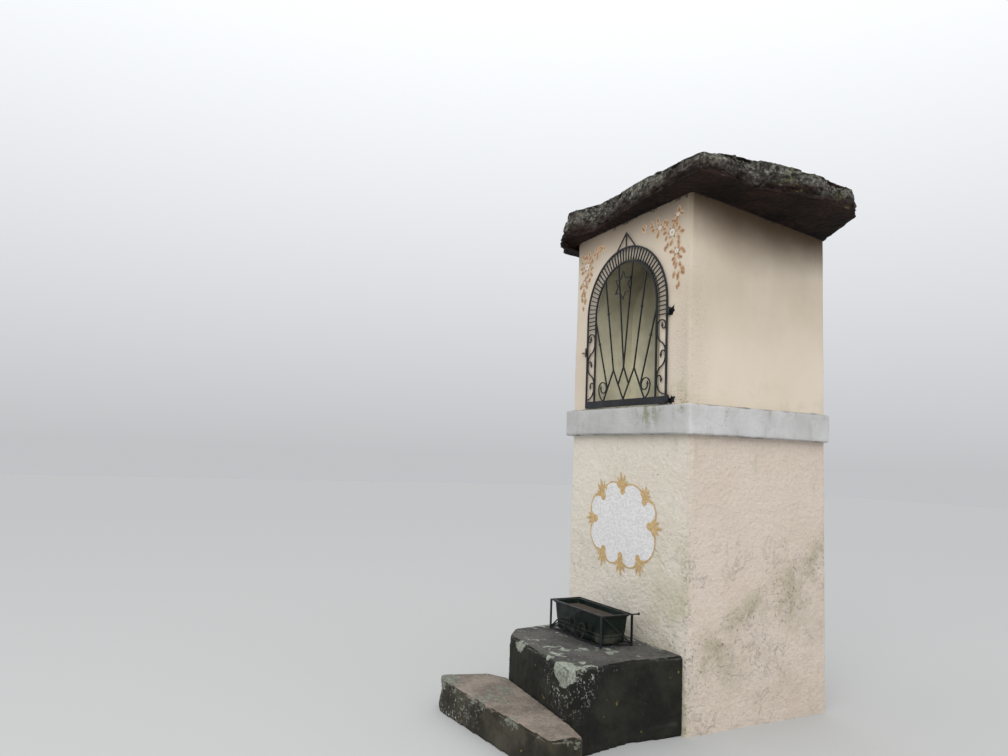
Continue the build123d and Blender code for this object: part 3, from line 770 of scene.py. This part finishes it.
def lichened_roof():
    made = Finish("roof_stone", 0.95, specular=0.25)
    up = made.facing(2)
    wide = made.noise(3.2, 5, 0.6, shift=30)
    clouds = made.noise(9, 6, 0.68, shift=31)
    fine = made.noise(48, 6, 0.72, shift=32)
    grain = made.noise(190, 5, 0.7)
    bands = made.noise(3.4, 6, 0.65, stretch=(1, 1, 9), shift=33)
    crags = made.cells(26, stretch=(1, 1, 1.6), shift=39)
    made.base(bands, 0.35, 0.62, (0.008, 0.0055, 0.004), (0.036, 0.0180, 0.0125))
    grey = made.mix(made.step(clouds, 0.34, 0.66), (0.028, 0.026, 0.0215), (0.155, 0.146, 0.122))
    crust = made.times(made.step(fine, 0.47, 0.66), made.step(wide, 0.28, 0.52))
    grey = made.mix(crust, grey, (0.37, 0.35, 0.295))
    over = made.minus(made.round_zero(clouds, 0.22), under_roof(made))
    made.lay(grey, made.step(over, 0.03, 0.13), made.step(up, -0.75, -0.35))
    rings = made.step(made.cells(23, shift=34), 0.36, 0.16)
    some = made.spots(5.0, 4, 0.6, 35, 0.52, 0.62)
    made.lay((0.29, 0.285, 0.235), rings, some, made.step(up, -0.2, 0.4), 0.6)
    moss = made.spots(22, 6, 0.75, 36, 0.52, 0.60)
    made.lay((0.175, 0.175, 0.065), moss, made.step(wide, 0.53, 0.60), made.step(up, -0.4, 0.3), 0.85)
    veins = made.spots(14, 5, 0.7, 38, 0.56, 0.66)
    made.lay((0.055, 0.027, 0.018), veins, made.step(wide, 0.54, 0.42), 0.55)
    # Painted shade darkens the crevices between the crags
    made.lay((0.009, 0.007, 0.006), made.step(crags, 0.40, 0.70), made.step(fine, 0.62, 0.44), 0.70)
    return made.finished((bands, 0.016), (crags, -0.022), (fine, 0.012), (grain, 0.003))


roof_stone = lichened_roof()
print("roof stone finish ready")

# %% Roof stone
large_breaks, small_breaks, rock_grain, layer_depth = 0.026, 0.014, 0.007, 0.018
layers_per_metre = 34
bm = even_skin("roof_slab", cell=0.012)


def roof_depth(co, normal):
    """Deep and in bent layers on the upright faces, shallow below, nothing on the wall."""
    beside = max(left_x - co.x, co.x - right_x, front_y - co.y, co.y - back_y)
    if normal.z < -0.5:
        free = min(1.0, max(0.0, beside / 0.03))
        return free * (0.004 + 0.006 * grain_at(co, 0.05, 41))
    upright = 1 - abs(normal.z)
    bent = co.z + 0.10 * co.x - 0.12 * co.y + 0.03 * noise.noise(co * 4)
    layer = 0.5 + 0.5 * noise.noise(Vector((3.3, 7.7, bent * layers_per_metre)))
    depth = large_breaks * broken_face(co, 0.15, 42) + small_breaks * broken_face(co, 0.05, 43)
    depth += rock_grain * grain_at(co, 0.03, 44)
    return 0.001 + depth * (0.35 + 0.65 * upright) + layer_depth * upright * layer


sunk(bm, roof_depth)
place(bm, "roof_stone", roof_stone, replaces=["roof_slab"], sharp_from=60)

# %% [markdown]
# ## The two steps
# The upper step is a dark stone that is nearly black on its front and carries pale
# lichen on its upper right corner. The lower one is pinkish and worn smooth on top.
# They share one function, since both are the same kind of rock with other colours.

# %% Steps


def step_finish(name, front, worn, pale, height, crust, reach, shift):
    """A dark front, a worn top, and pale lichen that is thickest round the place crust."""
    made = Finish(name, 0.88, specular=0.3)
    up = made.step(made.facing(2), 0.25, 0.85)
    clouds = made.noise(5, 5, 0.6, shift=shift)
    fine = made.noise(70, 6, 0.72, shift=shift + 1)
    grain = made.noise(260, 4, 0.65)
    made.base(clouds, 0.35, 0.65, *front)
    trodden = made.math("MULTIPLY_ADD", clouds, 0.5, made.times(fine, 0.5))
    made.lay(made.mix(made.step(trodden, 0.40, 0.60), *worn), up)
    near_top = made.step(made.z, height - 0.13, height - 0.03)
    blots = made.noise(21, 6, 0.62, shift=shift + 3)
    flowing = made.round_zero(made.noise(4.5, 3, 0.55, shift=shift + 2), 1.1)
    gap = made.node("VectorMath", {"operation": "DISTANCE"}, _0=made.place, _1=crust).outputs["Value"]
    grown = made.times(made.math("ADD", blots, flowing), made.math("ADD", near_top, 0.55))
    spread = made.step(made.math("ADD", grown, made.step(gap, 0.105, 0.05, 0.0, 0.6)), 0.92, 0.97)
    made.lay(made.mix(made.step(fine, 0.38, 0.62), *pale), spread, 0.9)
    specks = made.spots(85, 3, 0.6, shift + 5, 0.56, 0.62)
    specks = made.times(specks, made.step(blots, 0.42, 0.56), made.step(made.facing(2), 0.7, 0.4))
    made.lay((0.42, 0.42, 0.385), specks, made.step(gap, reach, 0.4 * reach), 0.85)
    made.lay((0.16, 0.15, 0.125), made.step(fine, 0.58, 0.75), 0.25)
    gold = made.spots(30, 3, 0.5, shift + 4, 0.70, 0.74)
    made.lay((0.24, 0.17, 0.035), gold, made.step(up, 0.6, 0.2), 0.7)
    return made.finished((clouds, 0.010), (fine, 0.005), (spread, 0.0015), (grain, 0.0012))


upper_low, upper_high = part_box("upper_step")
lower_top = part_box("lower_step")[1].z
dark_step_stone = step_finish(
    "dark_step",
    front=((0.008, 0.008, 0.006), (0.022, 0.022, 0.015)),
    worn=((0.045, 0.043, 0.039), (0.105, 0.101, 0.092)),
    pale=((0.17, 0.18, 0.145), (0.40, 0.43, 0.36)),
    height=upper_high.z,
    crust=(upper_high.x - 0.10, upper_low.y + 0.01, upper_high.z - 0.045),
    reach=0.25,
    shift=51,
)
pink_step_stone = step_finish(
    "pink_step",
    front=((0.022, 0.0195, 0.0125), (0.066, 0.059, 0.040)),
    worn=((0.14, 0.115, 0.092), (0.27, 0.225, 0.182)),
    pale=((0.10, 0.105, 0.085), (0.24, 0.25, 0.20)),
    height=lower_top,
    crust=(-0.3, front_y - 0.95, lower_top),
    reach=0.55,
    shift=61,
)
print("finishes:", dark_step_stone.name, pink_step_stone.name)

# %% Broken steps


def step_depth(co, normal, rough, seed):
    """Nearly nothing on top and at the back, rough elsewhere, and less near the ground."""
    if normal.z > 0.8:
        return 0.0005 + 0.002 * grain_at(co, 0.12, seed)
    if normal.y > 0.8:
        return 0.0005
    broken = broken_face(co, 0.14, seed + 1) + 0.4 * broken_face(co, 0.05, seed + 2)
    return 0.001 + min(1.0, co.z / 0.08) * rough * (0.7 * broken + 0.35 * grain_at(co, 0.04, seed + 3))


for node, finish, slot, rough, seed in (
    ("upper_step", dark_step_stone, "dark_step_stone", 0.016, 52),
    ("lower_step", pink_step_stone, "pink_step_stone", 0.020, 62),
):
    bm = even_skin(node, cell=0.010)
    sunk(bm, lambda co, normal: step_depth(co, normal, rough, seed))
    place(bm, node + "_stone", finish, replaces=[node], sharp_from=60)

# %% [markdown]
# ## The iron
# Gate, pintles and cradle are forged from round rod and flat bar and painted black. The
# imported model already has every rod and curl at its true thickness, so its meshes are
# kept, and only get a hammered black finish with a breath of rust. The catch on
# the wall was never painted, so it is brown with rust all over.

# %% Iron finishes


def black_iron():
    made = Finish("black_iron", 0.5, specular=0.35)
    clouds = made.noise(11, 4, 0.6, shift=71)
    fine = made.noise(140, 4, 0.65, shift=72)
    made.base(clouds, 0.38, 0.62, (0.0062, 0.0070, 0.0087), (0.0135, 0.0152, 0.0192))
    rust = made.times(made.step(fine, 0.58, 0.72), made.step(clouds, 0.45, 0.65), 0.55)
    made.lay((0.085, 0.040, 0.020), rust)
    made.rough(made.step(fine, 0.35, 0.65, 0.38, 0.58))
    return made.finished((made.noise(60, 3, 0.5, shift=73), 0.0012), (fine, 0.0004))


def bare_rust():
    made = Finish("bare_rust", 0.85)
    clouds = made.noise(40, 5, 0.65, shift=74)
    made.base(clouds, 0.36, 0.64, (0.10, 0.045, 0.022), (0.26, 0.15, 0.085))
    return made.finished((made.noise(220, 4, 0.7, shift=75), 0.0010),)


iron, rusty = black_iron(), bare_rust()
for name, part in nodes.items():
    if name.startswith(("gate_", "cradle_")) or name.endswith("_pintle") or name == "wall_catch":
        for material_slot in part.material_slots:
            material_slot.material = rusty if name == "wall_catch" else iron
print("iron on gate, pintles and cradle")

# %% [markdown]
# ## The planter
# The trough is a thin dark green plastic tub with a rolled rim and two grooves low down.
# It could be lofted from outlines, but a ring of edges that is pushed from level to
# level makes wall, grooves, rim and lip in one go, and stays a single closed skin.

# %% Trough


def green_tub():
    made = Finish("green_tub", 0.45, specular=0.2)
    dust = made.noise(22, 4, 0.6, stretch=(1, 1, 0.5), shift=81)
    made.base(dust, 0.42, 0.72, (0.0032, 0.0088, 0.0062), (0.0085, 0.0165, 0.0125))
    splash = made.times(made.step(made.z, 0.50, 0.44), made.step(dust, 0.40, 0.65), 0.6)
    made.lay((0.075, 0.068, 0.050), splash)
    made.rough(made.step(dust, 0.40, 0.70, 0.34, 0.62))
    return made.finished((made.noise(300, 2, 0.5), 0.0002),)


tub_low, tub_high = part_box("planter_trough")
middle = (tub_low + tub_high) / 2
rim_out, wall, draw, corner = 0.007, 0.004, 0.013, 0.009
tall = tub_high.z - tub_low.z
top_length, top_depth = tub_high.x - tub_low.x - 2 * rim_out, tub_high.y - tub_low.y - 2 * rim_out

bm = bmesh.new()
bmesh.ops.create_grid(bm, x_segments=1, y_segments=1, size=0.5)
bmesh.ops.scale(bm, vec=(top_length - 2 * draw, top_depth - 2 * draw, 1), verts=bm.verts)
rounded(bm, list(bm.verts), corner, 5, affect="VERTICES")
bmesh.ops.translate(bm, vec=(middle.x, middle.y, tub_low.z), verts=bm.verts)
ring = list(bm.edges)


def pushed_ring(edges, level, grow):
    """The ring goes to a level, and grows sideways by grow on every side."""
    xs = [v.co.x for e in edges for v in e.verts]
    ys = [v.co.y for e in edges for v in e.verts]
    by_x = 1 + 2 * grow / (max(xs) - min(xs))
    by_y = 1 + 2 * grow / (max(ys) - min(ys))
    return pushed(
        bm, edges,
        lambda co: Vector((middle.x + (co.x - middle.x) * by_x, middle.y + (co.y - middle.y) * by_y, level)),
    )


print("trough", round(top_length, 3), "long and", round(tall, 3), "high")

# %% Walls and rim of the trough
slope = draw / tall
groove, lip, inner_lip, mouth = 0.0016, 0.0020, 0.0015, 0.060
one_groove = [(0.003, -groove), (0.004, 0.0), (0.003, groove)]
level = tub_low.z
for rise_by, extra in [
    (0.004, 0.0), (0.020, 0.0), *one_groove, (0.008, 0.0), *one_groove, (0.030, 0.0), (0.056, 0.0),
]:
    level += rise_by
    ring = pushed_ring(ring, level, slope * rise_by + extra)
print("wall ends", round(tub_high.z - level, 4), "below the rim's top")
for to_level, grow in [
    (level + lip / 4, rim_out - lip / 2), (level + lip, lip / 2), (tub_high.z - lip, 0.0), (tub_high.z, -lip),
    (tub_high.z, lip + inner_lip - rim_out - wall), (tub_high.z - inner_lip, -inner_lip),
    (tub_high.z - mouth, -slope * mouth), (tub_low.z + wall, -slope * (tall - mouth - wall)),
]:
    ring = pushed_ring(ring, to_level, grow)
bmesh.ops.holes_fill(bm, edges=ring, sides=0)
place(bm, "green_trough", green_tub(), replaces=["planter_trough"])

# %% Soil


def potting_soil():
    made = Finish("potting_soil", 0.98)
    clumps = made.cells(90, shift=91)
    fine = made.noise(260, 5, 0.7, shift=92)
    made.base(fine, 0.35, 0.65, (0.020, 0.013, 0.009), (0.070, 0.048, 0.032))
    made.lay((0.22, 0.19, 0.15), made.spots(480, 2, 0.5, 93, 0.66, 0.72), 0.7)
    return made.finished((clumps, 0.004), (fine, 0.002))


bm = even_skin("planter_soil", cell=0.006)
sunk(bm, lambda co, normal: 0.0003 + (0.006 * grain_at(co, 0.03, 94) if normal.z > 0.7 else 0.0))
place(bm, "potting_soil", potting_soil(), replaces=["planter_soil"], sharp_from=70)

# %% [markdown]
# ## Painting on the wall
# Someone painted sprays of flowers beside the arch and a scalloped panel below it. A
# picture laid on the wall would need a file and blurs close up. Here the strokes are
# thin shapes laid out flat, then dropped on to the plaster, so they follow its waves.

# %% Paints and brush strokes


def wall_paint(name, dark_tone, pale_tone, wear):
    made = Finish(name, 0.8)
    strokes = made.noise(70, 4, 0.6, stretch=(1, 1, 1.6), shift=101)
    made.base(strokes, 0.36, 0.64, dark_tone, pale_tone)
    thin = made.spots(45, 5, 0.7, 102, 0.56, 0.68)
    made.lay(pale_cream, thin, wear)
    return made.finished((strokes, 0.0004),)


paints = [
    wall_paint("russet_paint", (0.235, 0.118, 0.058), (0.42, 0.255, 0.145), 0.35),
    wall_paint("tan_paint", (0.44, 0.29, 0.175), (0.58, 0.44, 0.30), 0.45),
    wall_paint("chalk_paint", (0.61, 0.595, 0.585), (0.77, 0.755, 0.745), 0.12),
    wall_paint("grey_paint", (0.36, 0.31, 0.26), (0.50, 0.44, 0.37), 0.35),
    wall_paint("gold_paint", (0.44, 0.28, 0.115), (0.60, 0.43, 0.21), 0.22),
]
RUSSET, TAN, CHALK, GREY, GOLD = range(5)
LIFTS = (0.0008, 0.0004, 0.0013, 0.0011, 0.0016)


def toward(angle):
    return Vector((cos(angle), sin(angle)))


def stroke(bm, at, length, width, angle, paint, taper=0.5):
    """One stroke of the brush, pointed at the end that the angle points to."""
    turned = Matrix.Translation(at.to_3d()) @ Matrix.Rotation(angle, 4, "Z")
    turned = turned @ Matrix.Diagonal((length, width, 1, 1))
    verts = bmesh.ops.create_circle(bm, cap_ends=True, radius=0.5, segments=10)["verts"]
    for v in verts:
        v.co.y *= 1 - taper * (v.co.x + 0.5)
    bmesh.ops.transform(bm, matrix=turned, verts=verts)
    verts[0].link_faces[0].material_index = paint


def laid_on(bm, wall):
    """Stands the flat strokes up and drops them on to the wall from the front."""
    bmesh.ops.rotate(bm, cent=(0, 0, 0), matrix=Matrix.Rotation(pi / 2, 3, "X"), verts=bm.verts)
    for v in bm.verts:
        hit = wall.ray_cast(Vector((v.co.x, front_y - 0.2, v.co.z)), Vector((0, 1, 0)))[0]
        v.co.y = (hit.y if hit else front_y) - LIFTS[v.link_faces[0].material_index]


print("paints and strokes ready")

# %% Sprays of flowers beside the arch
painter = Random(7)
petals_round, petal_size, dab_size = 6, 0.024, 0.038
ring_wide, ring_high = 0.72, 0.62


def spray(bm, flowers, dabs):
    """Flowers with a chalk ring round a gold heart, and dabs in two tones around them.

    All places are millimetres right of the block's middle and above the ground."""
    around = [2 * pi * i / petals_round for i in range(petals_round)]
    petals = [
        (x + ring_wide * size * cos(a), z + ring_high * size * sin(a))
        for x, z, size in flowers for a in around
    ]
    for i, (x, z) in enumerate(petals + dabs):
        heart = min(flowers, key=lambda f: hypot(x - f[0], z - f[1]))
        angle = atan2(z - heart[1], x - heart[0]) + painter.uniform(-0.7, 0.7)
        size = (petal_size if i < len(petals) else dab_size) * painter.uniform(0.85, 1.2)
        at = Vector((x, z)) / 1000
        stroke(bm, at, 1.15 * size, 0.90 * size, angle, TAN, 0.2)
        stroke(bm, at + toward(angle) * size * 0.12, 0.80 * size, 0.50 * size, angle, RUSSET, 0.35)
    for x, z, size in flowers:
        for share, paint in ((1.15, GREY), (0.90, CHALK), (0.48, GOLD)):
            width = size / 1000 * share
            stroke(bm, Vector((x / 1000, z / 1000)), width, width * 0.9, 0.0, paint, 0.0)


right_flowers = [(392, 2642, 46), (286, 2693, 30), (438, 2734, 26), (432, 2528, 30)]
right_dabs = [
    (402, 2672), (447, 2652), (471, 2632), (444, 2605), (386, 2584), (445, 2570), (343, 2620), (332, 2652),
    (321, 2678), (345, 2701), (326, 2714), (266, 2739), (268, 2658), (217, 2717), (229, 2692), (212, 2735),
    (152, 2734), (141, 2717), (404, 2707), (432, 2684), (418, 2699), (430, 2714), (446, 2758), (469, 2733),
    (352, 2575), (334, 2560), (470, 2532), (486, 2517), (388, 2534), (409, 2489), (413, 2469), (457, 2490),
    (424, 2448), (458, 2448), (479, 2420), (479, 2402), (411, 2397), (446, 2393), (446, 2376), (452, 2338),
    (440, 2326),
]
left_flowers = [(-440, 2617, 46), (-465, 2511, 26)]
left_dabs = [
    (-494, 2649), (-497, 2613), (-393, 2634), (-391, 2596), (-487, 2584), (-430, 2560), (-394, 2560),
    (-457, 2540), (-468, 2676), (-445, 2676), (-418, 2690), (-413, 2664), (-385, 2648), (-487, 2688),
    (-360, 2678), (-332, 2652), (-324, 2676), (-343, 2709), (-304, 2712), (-299, 2691), (-278, 2702),
    (-250, 2698), (-501, 2494), (-440, 2488), (-415, 2520), (-471, 2459), (-484, 2440), (-461, 2438),
    (-487, 2404), (-454, 2391), (-472, 2344),
]
flat = bmesh.new()
spray(flat, right_flowers, right_dabs)
spray(flat, left_flowers, left_dabs)
laid_on(flat, upper_wall)
place(flat, "painted_sprays", paints)

# %% Scalloped panel on the plinth
panel_middle = Vector((-0.010, 1.005))
border = 0.009
strokes_each_way, stroke_span = 6, 2.6
cusps = [(2.3, 0.253), (35.5, 0.249), (88.8, 0.192), (140.8, 0.237),
         (177.8, 0.262), (223.8, 0.241), (267.5, 0.186), (310.6, 0.238)]
lobe_bulges = [0.062, 0.030, 0.040, 0.066, 0.062, 0.036, 0.036, 0.066]
tuft_tips = [(0.337, 1.008), (0.207, 1.227), (-0.024, 1.294), (-0.222, 1.247),
             (-0.358, 1.013), (-0.204, 0.750), (-0.010, 0.716), (0.168, 0.739)]


def scalloped(angle):
    """Distance from the panel's middle to its edge in one direction, in degrees."""
    for i, (start, near) in enumerate(cusps):
        end, far = cusps[(i + 1) % len(cusps)]
        span = (end - start) % 360
        into = (angle - start) % 360
        if into < span:
            share = into / span
            return near + share * (far - near) + lobe_bulges[i] * sin(pi * share) ** 0.7
    return cusps[0][1]


def on_edge(angle, beyond=0.0):
    reach = scalloped(angle % 360) + beyond
    return panel_middle + toward(radians(angle)) * reach


flat = bmesh.new()
for v in bmesh.ops.create_circle(flat, cap_ends=False, radius=1, segments=180)["verts"]:
    v.co = on_edge(degrees(atan2(v.co.y, v.co.x))).to_3d()
edge_ring = list(flat.edges)
centre = panel_middle.to_3d()
closed_in(flat, edge_ring, centre, rings=14)
field = set(flat.faces)
pushed(flat, edge_ring, lambda co: co + (co - centre).normalized() * border)
for f in flat.faces:
    f.material_index = CHALK if f in field else GOLD
for (angle, near), tip in zip(cusps, tuft_tips):
    root = on_edge(angle, 0.004)
    out = Vector(tip) - root
    lean = atan2(out.y, out.x)
    stroke(flat, root, 0.060, 0.052, lean, GOLD, 0.2)
    for side, size in ((0.0, 1.0), (-0.42, 0.85), (0.42, 0.85), (-0.90, 0.66), (0.90, 0.66)):
        reach = (out.length + 0.012) * size
        at = root + toward(lean + side) * reach * 0.5
        stroke(flat, at, reach, 0.36 * reach, lean + side, GOLD, 0.55)
    for side in (-1, 1):
        for i in range(strokes_each_way):
            a, b = (on_edge(angle + side * stroke_span * j, 0.006) for j in (i, i + 1))
            run = b - a
            stroke(flat, (a + b) / 2, 1.5 * run.length, 0.032 - 0.0040 * i, atan2(run.y, run.x), GOLD, 0.15)
laid_on(flat, plinth_wall)
place(flat, "scalloped_panel", paints)

# %% [markdown]
# ## Floor and light
# The shrine is lit by an overcast sky: soft light from everywhere, a little stronger from
# above and from the right. A pale world does most of that, and one large lamp the rest.

# %% Stage
floor_mesh = bmesh.new()
bmesh.ops.create_grid(floor_mesh, x_segments=1, y_segments=1, size=30)
ground = bpy.data.meshes.new("stage_floor")
floor_mesh.to_mesh(ground)
floor_mesh.free()
stage_floor = in_scene("stage_floor", ground)
floor_finish = Finish("stage_floor", 0.9)
floor_finish.shader.inputs["Base Color"].default_value = (0.45, 0.45, 0.44, 1)
ground.materials.append(floor_finish.material)

world = bpy.data.worlds.new("overcast")
bpy.context.scene.world = world
world.use_nodes = True
sky_tree = world.node_tree
sky = sky_tree.nodes["Background"]
up_there = sky_tree.nodes.new("ShaderNodeTexCoord")
height_up = sky_tree.nodes.new("ShaderNodeSeparateXYZ")
brighter = sky_tree.nodes.new("ShaderNodeMapRange")
for socket, value in (("From Min", 0.0), ("From Max", 0.9), ("To Min", 0.56), ("To Max", 1.42)):
    brighter.inputs[socket].default_value = value
sky_tree.links.new(up_there.outputs["Generated"], height_up.inputs[0])
sky_tree.links.new(height_up.outputs[2], brighter.inputs["Value"])
sky_tree.links.new(brighter.outputs[0], sky.inputs["Strength"])
sky.inputs["Color"].default_value = (0.95, 0.97, 1.0, 1)

lamp = bpy.data.lights.new("high_cloud", "AREA")
lamp.shape = "DISK"
lamp.size = 7
lamp.energy = 360
bright_cloud = in_scene("high_cloud", lamp)
bright_cloud.location = (5.8, -5.9, 6.5)
aim = Vector((0, 0, 1.6)) - bright_cloud.location
bright_cloud.rotation_euler = aim.to_track_quat("-Z", "Y").to_euler()
print("stage and light are set")

# %% Measure and finish
print("triangles in new pieces:", sum(triangles_made.values()))
